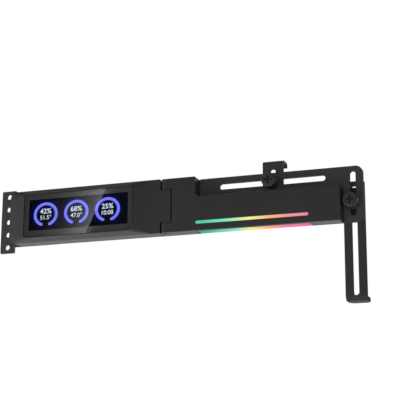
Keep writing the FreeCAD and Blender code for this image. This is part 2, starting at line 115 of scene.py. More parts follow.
def buildFinishGrain():
    tree, given, result = newGroup(
        "finishGrain",
        [("Vector", "Vector"), ("Tone", "Color"), ("Tone Spread", "Float"), ("Rough", "Float"),
         ("Rough Spread", "Float"), ("Grain Scale", "Float"), ("Cloud Scale", "Float")],
        [("Color", "Color"), ("Roughness", "Float"), ("Height", "Float")])
    grain = addNode(tree, "ShaderNodeTexNoise", {
        "Vector": given["Vector"], "Scale": given["Grain Scale"], "Detail": grainMix["fineDetail"]})
    cloud = addNode(tree, "ShaderNodeTexNoise", {
        "Vector": given["Vector"], "Scale": given["Cloud Scale"], "Detail": grainMix["cloudDetail"]})
    pits = addNode(tree, "ShaderNodeTexVoronoi", {
        "Vector": given["Vector"], "Scale": given["Grain Scale"]}, feature="SMOOTH_F1")
    fine = grain.outputs["Fac"]
    swing = mathNode(tree, "SUBTRACT", mathNode(tree, "ADD", fine, cloud.outputs["Fac"]), 1.0)
    shade = mathNode(tree, "ADD", mathNode(tree, "MULTIPLY", swing, given["Tone Spread"]), 1.0)
    tint = addNode(tree, "ShaderNodeVectorMath", {0: given["Tone"], "Scale": shade}, operation="SCALE")
    rough = mathNode(tree, "ADD", mathNode(tree, "MULTIPLY", swing, given["Rough Spread"]), given["Rough"])
    dents = mathNode(tree, "MULTIPLY", pits.outputs["Distance"], grainMix["pitShare"])
    feedAll(tree, result, {
        "Color": tint.outputs[0], "Roughness": rough, "Height": mathNode(tree, "ADD", fine, dents)})
    return tree


# place along a light window, 0 to 1, and the level there: dimmer past the last diode at either end
windowEnd = {"dim": 0.8, "fade": 0.03}


def buildWindowRun():
    tree, given, result = newGroup(
        "windowRun",
        [("Vector", "Vector"), ("Start", "Float"), ("Length", "Float"), ("Fade", "Float"),
         ("Unlit", "Float")],
        [("Share", "Float"), ("Level", "Float")])
    along = addNode(tree, "ShaderNodeSeparateXYZ", {0: given["Vector"]}).outputs["X"]
    share = mathNode(tree, "DIVIDE", mathNode(tree, "SUBTRACT", along, given["Start"]), given["Length"])
    toEnd = mathNode(tree, "MINIMUM", share, mathNode(tree, "SUBTRACT", 1.0, share))
    rise = mathNode(tree, "DIVIDE", toEnd, given["Fade"])
    rise = mathNode(tree, "MULTIPLY", rise, 1.0 - windowEnd["dim"])
    level = mathNode(tree, "MINIMUM", mathNode(tree, "ADD", rise, windowEnd["dim"]), 1.0)
    lit = mathNode(tree, "GREATER_THAN", share, given["Unlit"])
    feedAll(tree, result, {"Share": share, "Level": mathNode(tree, "MULTIPLY", level, lit)})
    return tree


finishGrain = buildFinishGrain()
windowRun = buildWindowRun()


def newMaterial(name):
    material = bpy.data.materials.new(name)
    material.use_nodes = True
    tree = material.node_tree
    return material, tree, tree.nodes["Principled BSDF"]


def objectVector(tree):
    return addNode(tree, "ShaderNodeTexCoord").outputs["Object"]


def grainMaterial(name, look):
    material, tree, shader = newMaterial(name)
    grain = placeGroup(tree, finishGrain, {
        "Vector": objectVector(tree), "Tone": look["tone"], "Tone Spread": look["toneSpread"],
        "Rough": look["rough"], "Rough Spread": look["roughSpread"], "Grain Scale": 1 / look["grain"],
        "Cloud Scale": 1 / look["cloud"]})
    bump = addNode(tree, "ShaderNodeBump", {
        "Strength": look["bump"], "Distance": look["depth"], "Height": grain["Height"]})
    if look["edge"]:
        softEdge = addNode(
            tree, "ShaderNodeBevel", {"Radius": look["edge"]}, samples=grainMix["edgeSamples"])
        feed(tree, bump.inputs["Normal"], softEdge.outputs["Normal"])
    feedAll(tree, shader, {
        "Base Color": grain["Color"], "Roughness": grain["Roughness"], "Normal": bump.outputs["Normal"],
        "Metallic": look.get("metallic", 0.0), "Specular IOR Level": look.get("specular", 0.5)})
    return material


# the nodes' own finishes: grain and cloud are the sizes of their patterns, edge is how round a corner looks
mouldingLook = {
    "tone": srgb(43, 43, 43), "toneSpread": 0.12, "rough": 0.46, "roughSpread": 0.08,
    "grain": 0.35 * mm, "cloud": 22 * mm, "bump": 0.25, "depth": 0.03 * mm, "edge": 0.15 * mm,
}
coatLook = {
    "tone": srgb(53, 53, 53), "toneSpread": 0.16, "rough": 0.58, "roughSpread": 0.1, "specular": 0.1,
    "grain": 0.28 * mm, "cloud": 14 * mm, "bump": 0.4, "depth": 0.03 * mm, "edge": 0.25 * mm,
}
railLook = dict(coatLook, specular=0.5)  # the same coat with more sheen
knobLook = {
    "tone": srgb(48, 48, 48), "toneSpread": 0.2, "rough": 0.4, "roughSpread": 0.12,
    "grain": 0.2 * mm, "cloud": 6 * mm, "bump": 0.2, "depth": 0.02 * mm, "edge": 0.2 * mm,
}
screwLook = {
    "tone": srgb(34, 34, 36), "toneSpread": 0.2, "rough": 0.3, "roughSpread": 0.12,
    "grain": 0.2 * mm, "cloud": 3 * mm, "bump": 0.1, "depth": 0.02 * mm, "edge": 0.08 * mm,
}
nutLook = {
    "tone": srgb(27, 27, 28), "toneSpread": 0.2, "rough": 0.5, "roughSpread": 0.12, "specular": 0.2,
    "grain": 0.2 * mm, "cloud": 4 * mm, "bump": 0.2, "depth": 0.02 * mm, "edge": 0.15 * mm,
}
pinLook = {
    "tone": srgb(176, 176, 178), "toneSpread": 0.1, "rough": 0.34, "roughSpread": 0.12, "metallic": 1.0,
    "grain": 0.15 * mm, "cloud": 5 * mm, "bump": 0.1, "depth": 0.02 * mm, "edge": 0.1 * mm,
}
boardLook = {
    "tone": srgb(18, 62, 40), "toneSpread": 0.3, "rough": 0.4, "roughSpread": 0.1,
    "grain": 0.5 * mm, "cloud": 4 * mm, "bump": 0.2, "depth": 0.02 * mm, "edge": 0.1 * mm,
}
ledLook = {
    "tone": srgb(236, 232, 214), "toneSpread": 0.06, "rough": 0.35, "roughSpread": 0.06,
    "grain": 0.3 * mm, "cloud": 3 * mm, "bump": 0.1, "depth": 0.02 * mm, "edge": 0.1 * mm,
}

blackMoulding = grainMaterial("blackMoulding", mouldingLook)
blackCoat = grainMaterial("blackCoat", coatLook)
railCoat = grainMaterial("railCoat", railLook)
blackKnob = grainMaterial("blackKnob", knobLook)
blackScrew = grainMaterial("blackScrew", screwLook)
blackNut = grainMaterial("blackNut", nutLook)
plainSteel = grainMaterial("plainSteel", pinLook)
greenBoard = grainMaterial("greenBoard", boardLook)
ledBody = grainMaterial("ledBody", ledLook)


# glossy front panel, coated against glare
lensLook = {"ior": 1.38, "tint": (0.96, 0.97, 1.0, 1), "rough": 0.002, "smearScale": 60, "smearDetail": 4}


def buildLensGlass():
    material, tree, shader = newMaterial("lensGlass")
    smear = addNode(tree, "ShaderNodeTexNoise", {
        "Vector": objectVector(tree), "Scale": lensLook["smearScale"], "Detail": lensLook["smearDetail"]})
    feedAll(tree, shader, {
        "Roughness": mathNode(tree, "MULTIPLY", smear.outputs["Fac"], 2 * lensLook["rough"]),
        "Base Color": lensLook["tint"], "Transmission Weight": 1.0, "IOR": lensLook["ior"]})
    return material


# milky light windows, lit from behind: the colours along each, by its share of the length
hues = ("teal", "mint", "lemon", "apricot", "coral", "pink")
frontWindow = {
    "node": "front_diffuser", "glow": 0.94, "base": 0.05, "rough": 0.4, "sheen": 0.2, "unlit": 0.0,
    "teal": (0.08, srgb(68, 203, 174)), "mint": (0.31, srgb(130, 241, 188)),
    "lemon": (0.48, srgb(250, 245, 140)), "apricot": (0.66, srgb(252, 184, 124)),
    "coral": (0.84, srgb(241, 145, 150)), "pink": (1.0, srgb(235, 126, 176)),
}
lowerWindow = {
    "node": "lower_diffuser", "glow": 1.0, "base": 0.004, "rough": 0.4, "sheen": 0.0, "unlit": 1.9 * mm,
    "teal": (0.07, srgb(52, 180, 156)), "mint": (0.36, srgb(140, 238, 194)),
    "lemon": (0.47, srgb(248, 240, 132)), "apricot": (0.63, srgb(255, 172, 130)),
    "coral": (0.77, srgb(244, 131, 156)), "pink": (0.97, srgb(237, 102, 193)),
}


def buildLitWindow(name, look):
    material, tree, shader = newMaterial(name)
    low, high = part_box(look["node"])
    length = high.x - low.x
    run = placeGroup(tree, windowRun, {
        "Vector": objectVector(tree), "Start": low.x, "Length": length, "Fade": windowEnd["fade"],
        "Unlit": look["unlit"] / length})
    ramp = addNode(tree, "ShaderNodeValToRGB", {"Fac": run["Share"]})
    stops = ramp.color_ramp.elements
    while len(stops) < len(hues):
        stops.new(0.5)
    for stop, hue in zip(stops, hues):
        stop.position, stop.color = look[hue]
    level = addNode(tree, "ShaderNodeVectorMath", {
        0: ramp.outputs["Color"], "Scale": run["Level"]}, operation="SCALE")
    feedAll(tree, shader, {
        "Emission Color": level.outputs[0], "Emission Strength": look["glow"],
        "Base Color": (look["base"], look["base"], look["base"], 1), "Roughness": look["rough"],
        "Specular IOR Level": look["sheen"]})
    return material


# screen: where the picture lies on the front panel, and its three gauges
lensLow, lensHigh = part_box("display_lens")
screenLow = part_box("lcd_panel")[0]
screen = {
    "centre": ((lensLow.x + lensHigh.x) / 2 + 0.3 * mm, 0.4 * mm), "size": (83 * mm, 24.2 * mm),
    "dark": srgb(2, 4, 9), "base": (0.001, 0.001, 0.001, 1), "rough": 0.6,
}
gauge = {
    "count": 3, "pitch": 26.0 * mm, "shift": -1.55 * mm, "rise": 0.2 * mm,
    "radius": (9.1 * mm, 8.3 * mm), "stroke": 2.4 * mm, "thick": 0.06 * mm, "lift": 0.01 * mm,
    "open": math.radians(46), "colour": srgb(125, 130, 255), "halo": srgb(3, 3, 90), "reach": 1.15 * mm,
    "haloEnds": (0.35, 0.7), "arcSteps": 72, "strokeSides": 16, "tipSteps": (24, 12),
}
gaugeX = screen["centre"][0] + gauge["shift"]
gaugeZ = screen["centre"][1] + gauge["rise"]
firstGauge = (1 - gauge["count"]) / 2  # place of the first one in the centred row, in pitches


def buildScreenGlow():
    # near-black picture with a blue halo round each gauge; the gauges repeat by one pitch along X
    material, tree, shader = newMaterial("screenGlow")
    axes = addNode(tree, "ShaderNodeSeparateXYZ", {0: objectVector(tree)})
    x = mathNode(tree, "SUBTRACT", axes.outputs["X"], gaugeX)
    z = mathNode(tree, "SUBTRACT", axes.outputs["Z"], gaugeZ)
    nearest = mathNode(tree, "ROUND", mathNode(tree, "DIVIDE", x, gauge["pitch"]))
    nearest = mathNode(tree, "MAXIMUM", mathNode(tree, "MINIMUM", nearest, -firstGauge), firstGauge)
    cell = mathNode(tree, "SUBTRACT", x, mathNode(tree, "MULTIPLY", nearest, gauge["pitch"]))
    tall = mathNode(tree, "MULTIPLY", z, gauge["radius"][0] / gauge["radius"][1])
    square = mathNode(tree, "MULTIPLY", cell, cell)
    square = mathNode(tree, "ADD", square, mathNode(tree, "MULTIPLY", tall, tall))
    gap = mathNode(tree, "SUBTRACT", mathNode(tree, "SQRT", square), gauge["radius"][0])
    away = mathNode(tree, "SUBTRACT", mathNode(tree, "ABSOLUTE", gap), gauge["stroke"] / 2)
    away = mathNode(tree, "MAXIMUM", away, 0.0)
    fade = mathNode(tree, "EXPONENT", mathNode(tree, "DIVIDE", away, -gauge["reach"]))
    # no halo in the open part of a ring
    turn = mathNode(tree, "ABSOLUTE", mathNode(tree, "ARCTAN2", cell, mathNode(tree, "MULTIPLY", z, -1.0)))
    closed = rangeNode(tree, turn, *[gauge["open"] * share for share in gauge["haloEnds"]])
    halo = mathNode(tree, "MULTIPLY", fade, closed)
    feedAll(tree, shader, {
        "Emission Color": mixColour(tree, halo, screen["dark"], gauge["halo"]), "Emission Strength": 1.0,
        "Base Color": screen["base"], "Roughness": screen["rough"], "Specular IOR Level": 0.0})
    return material


# lit parts of the picture, a little uneven as a real panel is
litLook = {
    "unevenScale": 400, "dim": 0.9, "base": (0.01, 0.01, 0.01, 1), "sheen": 0.1,
    "gaugeGlow": 1.0, "figureColour": srgb(226, 240, 255), "figureGlow": 0.95,
}


def buildLit(name, colour, glow):
    material, tree, shader = newMaterial(name)
    uneven = addNode(tree, "ShaderNodeTexNoise", {
        "Vector": objectVector(tree), "Scale": litLook["unevenScale"]})
    dimmer = tuple(c * litLook["dim"] for c in colour[:3]) + (1,)
    feedAll(tree, shader, {
        "Emission Color": mixColour(tree, uneven.outputs["Fac"], dimmer, colour), "Emission Strength": glow,
        "Base Color": litLook["base"], "Specular IOR Level": litLook["sheen"]})
    return material


lensGlass = buildLensGlass()
screenGlow = buildScreenGlow()
frontLit = buildLitWindow("frontLit", frontWindow)
lowerLit = buildLitWindow("lowerLit", lowerWindow)
gaugeLit = buildLit("gaugeLit", gauge["colour"], litLook["gaugeGlow"])
figureLit = buildLit("figureLit", litLook["figureColour"], litLook["figureGlow"])

finishes = {
    blackMoulding: ["front_housing", "rear_housing", "bar_cover"],
    blackCoat: ["support_leg"],
    railCoat: ["mount_plate", "base_plate", "clip_hook"],
    blackKnob: ["clip_screw", "leg_screw", "clip_washer", "leg_washer"],
    blackNut: ["clip_nut", "leg_nut"],
    blackScrew: ["housing_screws", "mount_plate_screws", "cover_screws"],
    plainSteel: ["hinge_pin", "lead_socket"],
    greenBoard: ["control_board", "led_board"],
    ledBody: ["leds"],
    lensGlass: ["display_lens"],
    screenGlow: ["lcd_panel"],
    frontLit: ["front_diffuser"],
    lowerLit: ["lower_diffuser"],
}
for material, names in finishes.items():
    for name in names:
        mesh = nodes[name].data
        mesh.materials.clear()
        mesh.materials.append(material)
# the clear panel lets the lamps through to the print behind it
nodes["display_lens"].visible_shadow = False
print("finishes placed:", len(finishes))


def newPiece(name, mesh, body):
    piece = bpy.data.objects.new(name, mesh)
    bpy.context.scene.collection.objects.link(piece)
    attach(piece, body)
    return piece


def newTree(name, inputs):
    tree = bpy.data.node_groups.new(name, "GeometryNodeTree")
    for label, kind in inputs:
        tree.interface.new_socket(name=label, in_out="INPUT", socket_type="NodeSocket" + kind)
    tree.interface.new_socket(name="Geometry", in_out="OUTPUT", socket_type="NodeSocketGeometry")
    return tree, addNode(tree, "NodeGroupInput").outputs, addNode(tree, "NodeGroupOutput")


def endTree(tree, geometry, given, leave):
    real = addNode(tree, "GeometryNodeRealizeInstances", {"Geometry": geometry})
    paint = addNode(tree, "GeometryNodeSetMaterial", {
        "Geometry": real.outputs["Geometry"], "Material": given["Finish"]})
    feed(tree, leave.inputs["Geometry"], paint.outputs["Geometry"])


def grownMesh(name, tree, values, points=()):
    # runs a node tree on a mesh of bare points and keeps the result as a plain mesh
    holder = bpy.data.objects.new(name + "Holder", bpy.data.meshes.new(name + "Holder"))
    holder.data.from_pydata(points, [], [])
    bpy.context.scene.collection.objects.link(holder)
    modifier = holder.modifiers.new("grow", "NODES")
    modifier.node_group = tree
    for item in tree.interface.items_tree:
        if item.in_out == "INPUT" and item.name in values:
            modifier[item.identifier] = values[item.name]
    depsgraph = bpy.context.evaluated_depsgraph_get()
    mesh = bpy.data.meshes.new_from_object(holder.evaluated_get(depsgraph), depsgraph=depsgraph)
    mesh.name = name
    bpy.data.objects.remove(holder)
    return mesh


# gauges: an open ring with round ends, repeated along the screen
def buildGaugeTree():
    tree, given, leave = newTree("gaugeRow", [
        ("Count", "Int"), ("Pitch", "Float"), ("Radius", "Float"), ("Stroke", "Float"), ("Sweep", "Float"),
        ("Start", "Float"), ("Squash", "Vector"), ("Origin", "Vector"), ("Finish", "Material")])
    arc = addNode(tree, "GeometryNodeCurveArc", {
        "Resolution": gauge["arcSteps"], "Radius": given["Radius"], "Start Angle": given["Start"],
        "Sweep Angle": given["Sweep"]}, mode="RADIUS").outputs["Curve"]
    half = mathNode(tree, "MULTIPLY", given["Stroke"], 0.5)
    profile = addNode(tree, "GeometryNodeCurvePrimitiveCircle", {
        "Resolution": gauge["strokeSides"], "Radius": half}, mode="RADIUS")
    tube = addNode(tree, "GeometryNodeCurveToMesh", {
        "Curve": arc, "Profile Curve": profile.outputs["Curve"]})
    ball = addNode(tree, "GeometryNodeMeshUVSphere", {
        "Segments": gauge["tipSteps"][0], "Rings": gauge["tipSteps"][1], "Radius": half})
    ends = addNode(tree, "GeometryNodeCurveEndpointSelection")
    tips = addNode(tree, "GeometryNodeInstanceOnPoints", {
        "Points": arc, "Selection": ends.outputs["Selection"], "Instance": ball.outputs["Mesh"]})
    join = addNode(tree, "GeometryNodeJoinGeometry", {0: [tube.outputs["Mesh"], tips.outputs["Instances"]]})
    flat = addNode(tree, "GeometryNodeTransform", {"Geometry": join.outputs[0], "Scale": given["Squash"]})
    step = addNode(tree, "ShaderNodeCombineXYZ", {"X": given["Pitch"]})
    row = addNode(tree, "GeometryNodeMeshLine", {
        "Count": given["Count"], "Start Location": given["Origin"],
        "Offset": step.outputs[0]}, mode="OFFSET")
    spread = addNode(tree, "GeometryNodeInstanceOnPoints", {
        "Points": row.outputs["Mesh"], "Instance": flat.outputs["Geometry"]})
    endTree(tree, spread.outputs["Instances"], given, leave)
    return tree


gaugeY = screenLow.y - gauge["thick"] / 2 - gauge["lift"]
ringMesh = grownMesh("gauge_rings", buildGaugeTree(), {
    "Count": gauge["count"], "Pitch": gauge["pitch"], "Radius": gauge["radius"][0],
    "Stroke": gauge["stroke"], "Start": gauge["open"] / 2 - math.pi / 2,
    "Sweep": 2 * math.pi - gauge["open"],
    "Squash": (1.0, gauge["radius"][1] / gauge["radius"][0], gauge["thick"] / gauge["stroke"]),
    "Origin": (firstGauge * gauge["pitch"], 0.0, 0.0), "Finish": gaugeLit})
# the row is drawn lying flat, then stood up to face the front
ringMesh.transform(Matrix.Translation((gaugeX, gaugeY, gaugeZ)) @ Matrix.Rotation(math.pi / 2, 4, "X"))
newPiece("gauge_rings", ringMesh, "display")


# screws: the small ones with their cross recess, and the thread at the tip of each thumb screw
smallScrew = {
    "headWidth": 4.6 * mm, "headDepth": 1.1 * mm, "headSides": 40, "shankWidth": 2.5 * mm, "shankSides": 24,
    "shankStart": 0.4, "threadStart": 1.5,  # both counted in head depths below the face
    "pitch": 0.9 * mm, "ridge": 0.1 * mm, "recessSpan": 2.5 * mm, "recessWidth": 0.62 * mm,
    "recessDepth": 0.8 * mm, "seed": 5, "apart": 5.0 * mm,
}
thumbThread = {"pitch": 0.7 * mm, "ridge": 0.14 * mm, "shank": 4.0 * mm, "gap": 0.02 * mm}
threadForm = {"turnSteps": 24, "ridgeSides": 4}


def buildThreadTree():
    tree, given, leave = newTree("threadRidge", [
        ("Radius", "Float"), ("Pitch", "Float"), ("Turns", "Float"), ("Ridge", "Float"),
        ("Finish", "Material")])
    height = mathNode(tree, "MULTIPLY", given["Turns"], given["Pitch"])
    spiral = addNode(tree, "GeometryNodeCurveSpiral", {
        "Resolution": threadForm["turnSteps"], "Rotations": given["Turns"], "Height": height,
        "Start Radius": given["Radius"], "End Radius": given["Radius"]})
    profile = addNode(tree, "GeometryNodeCurvePrimitiveCircle", {
        "Resolution": threadForm["ridgeSides"], "Radius": given["Ridge"]}, mode="RADIUS")
    ridge = addNode(tree, "GeometryNodeCurveToMesh", {
        "Curve": spiral.outputs["Curve"], "Profile Curve": profile.outputs["Curve"], "Fill Caps": True})
    endTree(tree, ridge.outputs["Mesh"], given, leave)
    return tree


def movedUp(tree, geometry, rise):
    step = addNode(tree, "ShaderNodeCombineXYZ", {"Z": rise})
    node = addNode(tree, "GeometryNodeTransform", {"Geometry": geometry, "Translation": step.outputs[0]})
    return node.outputs["Geometry"]


def buildScrewTree(threadTree):
    # a countersunk screw, head face at the point and looking along +Y
    tree, given, leave = newTree("crossScrews", [
        ("Geometry", "Geometry"), ("Head Width", "Float"), ("Head Depth", "Float"),
        ("Shank Width", "Float"), ("Length", "Float"), ("Recess Span", "Float"), ("Recess Width", "Float"),
        ("Recess Depth", "Float"), ("Pitch", "Float"), ("Ridge", "Float"), ("Seed", "Int"),
        ("Finish", "Material")])
    shankRadius = mathNode(tree, "MULTIPLY", given["Shank Width"], 0.5)
    head = addNode(tree, "GeometryNodeMeshCone", {
        "Vertices": smallScrew["headSides"], "Radius Bottom": shankRadius, "Depth": given["Head Depth"],
        "Radius Top": mathNode(tree, "MULTIPLY", given["Head Width"], 0.5)}, fill_type="NGON")
    headPiece = movedUp(tree, head.outputs["Mesh"], mathNode(tree, "MULTIPLY", given["Head Depth"], -1.0))
    # the shank starts inside the head, so that the two join cleanly
    start = mathNode(tree, "MULTIPLY", given["Head Depth"], smallScrew["shankStart"])
    shank = addNode(tree, "GeometryNodeMeshCylinder", {
        "Vertices": smallScrew["shankSides"], "Radius": shankRadius,
        "Depth": mathNode(tree, "SUBTRACT", given["Length"], start)}, fill_type="NGON")
    halfway = mathNode(tree, "MULTIPLY", mathNode(tree, "ADD", given["Length"], start), -0.5)
    shankPiece = movedUp(tree, shank.outputs["Mesh"], halfway)
    whole = addNode(tree, "GeometryNodeMeshBoolean", {"Mesh 2": [headPiece, shankPiece]}, operation="UNION")
    arms = []
    for along, across in (("X", "Y"), ("Y", "X")):
        size = addNode(tree, "ShaderNodeCombineXYZ", {
            along: given["Recess Span"], across: given["Recess Width"],
            "Z": mathNode(tree, "MULTIPLY", given["Recess Depth"], 2.0)})
        arms.append(addNode(tree, "GeometryNodeMeshCube", {"Size": size.outputs[0]}).outputs["Mesh"])
    cut = addNode(tree, "GeometryNodeMeshBoolean", {
        "Mesh 1": whole.outputs["Mesh"], "Mesh 2": arms}, operation="DIFFERENCE")
    bare = mathNode(tree, "MULTIPLY", given["Head Depth"], smallScrew["threadStart"])
    run = mathNode(tree, "SUBTRACT", given["Length"], bare)
    thread = addNode(tree, "GeometryNodeGroup", node_tree=threadTree)
    feedAll(tree, thread, {
        "Radius": shankRadius, "Turns": mathNode(tree, "DIVIDE", run, given["Pitch"]),
        "Pitch": given["Pitch"], "Ridge": given["Ridge"], "Finish": given["Finish"]})
    threadRise = mathNode(tree, "SUBTRACT", given["Ridge"], given["Length"])
    threadPiece = movedUp(tree, thread.outputs["Geometry"], threadRise)
    join = addNode(tree, "GeometryNodeJoinGeometry", {0: [cut.outputs["Mesh"], threadPiece]})
    # each screw was driven home to a turn of its own; 3 is the upper end of a random number
    twist = addNode(tree, "FunctionNodeRandomValue", {
        3: math.pi / 2, "Seed": given["Seed"]}, data_type="FLOAT")
    turn = addNode(tree, "ShaderNodeCombineXYZ", {"X": -math.pi / 2, "Y": twist.outputs[1]})
    spread = addNode(tree, "GeometryNodeInstanceOnPoints", {
        "Points": given["Geometry"], "Instance": join.outputs[0], "Rotation": turn.outputs[0]})
    endTree(tree, spread.outputs["Instances"], given, leave)
    return tree


def screwSpots(nodeName):
    # middle of each head's face, and the length, from the solids of a screw node
    groups = []
    for vertex in nodes[nodeName].data.vertices:
        for group in groups:
            if math.hypot(group[0].x - vertex.co.x, group[0].z - vertex.co.z) < smallScrew["apart"]:
                group.append(vertex.co)
                break
        else:
            groups.append([vertex.co])
    spots = []
    for group in groups:
        low = [min(co[i] for co in group) for i in range(3)]
        high = [max(co[i] for co in group) for i in range(3)]
        spots.append(((low[0] + high[0]) / 2, high[1], (low[2] + high[2]) / 2))
    return spots, high[1] - low[1]


def buildSmallScrews(nodeName, body):
    spots, length = screwSpots(nodeName)
    mesh = grownMesh("cross_" + nodeName, screwTree, {
        "Head Width": smallScrew["headWidth"], "Head Depth": smallScrew["headDepth"],
        "Shank Width": smallScrew["shankWidth"], "Length": length, "Recess Span": smallScrew["recessSpan"],
        "Recess Width": smallScrew["recessWidth"], "Recess Depth": smallScrew["recessDepth"],
        "Pitch": smallScrew["pitch"], "Ridge": smallScrew["ridge"], "Seed": smallScrew["seed"],
        "Finish": blackScrew}, spots)
    piece = newPiece("cross_" + nodeName, mesh, body)
    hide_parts(nodeName)


def buildThumbThread(screwNode, nutNode, body):
    # on the bare end of the shank, behind the nut
    low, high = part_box(screwNode)
    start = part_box(nutNode)[1].y + thumbThread["ridge"] + thumbThread["gap"]
    run = high.y - thumbThread["ridge"] - thumbThread["gap"] - start
    mesh = grownMesh(screwNode + "_thread", threadTree, {
        "Radius": thumbThread["shank"] / 2, "Pitch": thumbThread["pitch"],
        "Turns": run / thumbThread["pitch"], "Ridge": thumbThread["ridge"], "Finish": blackKnob})
    place = Matrix.Translation(((low.x + high.x) / 2, start, (low.z + high.z) / 2))
    mesh.transform(place @ Matrix.Rotation(-math.pi / 2, 4, "X"))
    newPiece(screwNode + "_thread", mesh, body)


threadTree = buildThreadTree()
screwTree = buildScrewTree(threadTree)
buildSmallScrews("housing_screws", "display")
buildSmallScrews("mount_plate_screws", "display")
buildSmallScrews("cover_screws", "bar")
buildThumbThread("clip_screw", "clip_nut", "clip_knob")
buildThumbThread("leg_screw", "leg_nut", "leg_knob")
print("screws made")


# plain figures in the gauges, two lines in each
figures = {
    "upper": ["42%", "68%", "25%"], "upperRise": 2.6 * mm, "upperHeight": 4.0 * mm, "upperWidth": 9.6 * mm,
    "upperWeight": 0.06 * mm,
    "lower": ["51.5°", "47.0°", "10:08"], "lowerRise": -2.3 * mm, "lowerHeight": 3.4 * mm,
    "lowerWidth": 9.4 * mm, "lowerWeight": 0.03 * mm,
    "thick": 0.03 * mm,
}


def figureMesh(name, words, width, height, weight):
    # one line of figures as a closed mesh, centred on the origin and fitted to its width and height
    curve = bpy.data.curves.new(name, "FONT")
    curve.body = words
    curve.size = height
    curve.offset = weight
    curve.extrude = figures["thick"] / 2
    holder = bpy.data.objects.new(name, curve)
    bpy.context.scene.collection.objects.link(holder)
    depsgraph = bpy.context.evaluated_depsgraph_get()
    mesh = bpy.data.meshes.new_from_object(holder.evaluated_get(depsgraph), depsgraph=depsgraph)
    bpy.data.objects.remove(holder)
    low = Vector([min(v.co[i] for v in mesh.vertices) for i in range(3)])
    high = Vector([max(v.co[i] for v in mesh.vertices) for i in range(3)])
    fit = Matrix.Diagonal((width / (high.x - low.x), height / (high.y - low.y), 1, 1))
    mesh.transform(fit @ Matrix.Translation(-(low + high) / 2))
    return mesh


def buildFigures(i, line):
    name = "figures_%s_%d" % (line, i + 1)
    mesh = figureMesh(
        name, figures[line][i], figures[line + "Width"], figures[line + "Height"], figures[line + "Weight"])
    place = Vector((
        gaugeX + (firstGauge + i) * gauge["pitch"], screenLow.y - figures["thick"],
        gaugeZ + figures[line + "Rise"]))
    mesh.transform(Matrix.Translation(place) @ Matrix.Rotation(math.pi / 2, 4, "X"))
    mesh.materials.clear()
    mesh.materials.append(figureLit)
    newPiece(name, mesh, "display")


for i in range(gauge["count"]):
    buildFigures(i, "upper")
    buildFigures(i, "lower")
print("screen picture made")


# dark print on the back of the front panel, open where the picture shows
mask = {
    "inset": 0.2 * mm, "thick": 0.04 * mm, "gap": 0.01 * mm, "outerCorner": 2.4 * mm,
    "innerCorner": 0.24 * mm, "steps": 6,
}
maskLook = {
    "tone": srgb(61, 61, 61), "toneSpread": 0.05, "rough": 0.06, "roughSpread": 0.02, "specular": 1.0,
    "grain": 0.4 * mm, "cloud": 12 * mm, "bump": 0.05, "depth": 0.01 * mm, "edge": 0.0,
}


def roundedLoop(centre, size, corner):
    # points of a rectangle with round corners, counter-clockwise in X and Z
    points = []
    for k, (sx, sz) in enumerate(((1, 1), (-1, 1), (-1, -1), (1, -1))):
        cx = centre[0] + sx * (size[0] / 2 - corner)
        cz = centre[1] + sz * (size[1] / 2 - corner)
        for i in range(mask["steps"] + 1):
            turn = math.pi / 2 * (k + i / mask["steps"])
            points.append((cx + corner * math.cos(turn), cz + corner * math.sin(turn)))
    return points


def frameMesh(name, outer, inner, front, back):
    # a flat frame between two loops of equally many points, closed all round
    count = len(outer)
    verts = [(x, y, z) for y in (front, back) for loop in (outer, inner) for x, z in loop]
    faces = []
    for i in range(count):
        j = (i + 1) % count
        o, n, p, q = i, j, count + i, count + j
        faces.append((o, n, q, p))
        faces.append((2 * count + n, 2 * count + o, 2 * count + p, 2 * count + q))
        faces.append((n, o, 2 * count + o, 2 * count + n))
        faces.append((p, q, 2 * count + q, 2 * count + p))
    mesh = bpy.data.meshes.new(name)
    mesh.from_pydata(verts, [], faces)
    mesh.update()
    return mesh


def buildPrint():
    panelCentre = ((lensLow.x + lensHigh.x) / 2, 0.0)
    panelSize = (lensHigh.x - lensLow.x - 2 * mask["inset"], lensHigh.z - lensLow.z - 2 * mask["inset"])
    outer = roundedLoop(panelCentre, panelSize, mask["outerCorner"])
    inner = roundedLoop(screen["centre"], screen["size"], mask["innerCorner"])
    back = lensHigh.y - mask["gap"]
    mesh = frameMesh("screen_print", outer, inner, back - mask["thick"], back)
    mesh.materials.append(grainMaterial("maskPrint", maskLook))
    newPiece("screen_print", mesh, "display")


buildPrint()
print("panel print made")


# studio: pale floor below the camera, white surround, soft lamps
middle = (0.14, 0.0, 0.0)
studio = {
    "floorZ": -0.42, "floorSize": 8.0, "floorTone": (0.82, 0.82, 0.82, 1), "floorRough": 0.7,
    "floorSheen": 0.1, "floorFade": (0.5, 1.1), "floorLift": 0.5, "white": 1.0,
    "backFill": 0.6, "frontFill": 0.08, "topFill": 0.06, "rightFill": 0.15,
    "backMirror": 0.8, "frontMirror": 0.04, "rightMirror": 0.08,
    "behind": (-0.3, 0.4), "above": (-0.3, 0.5), "right": (0.0, 0.25),
}
lamps = {
    "backLamp": {"place": (0.14, 1.0, 0.75), "size": (1.2, 0.8), "power": 10.0},
    "leftLamp": {"place": (-1.0, -0.5, 0.1), "size": (0.8, 0.8), "power": 2.6},
    "underLamp": {"place": (-0.1, -0.3, -0.4), "aim": (-0.1, -0.3, 0.0), "size": (0.6, 0.4), "power": 1.2},
    # opens up the recesses and leaves no sheen on the front
    "frontLamp": {"place": (0.55, -1.0, -0.1), "size": (0.8, 0.8), "power": 5.6, "sheen": False},
}


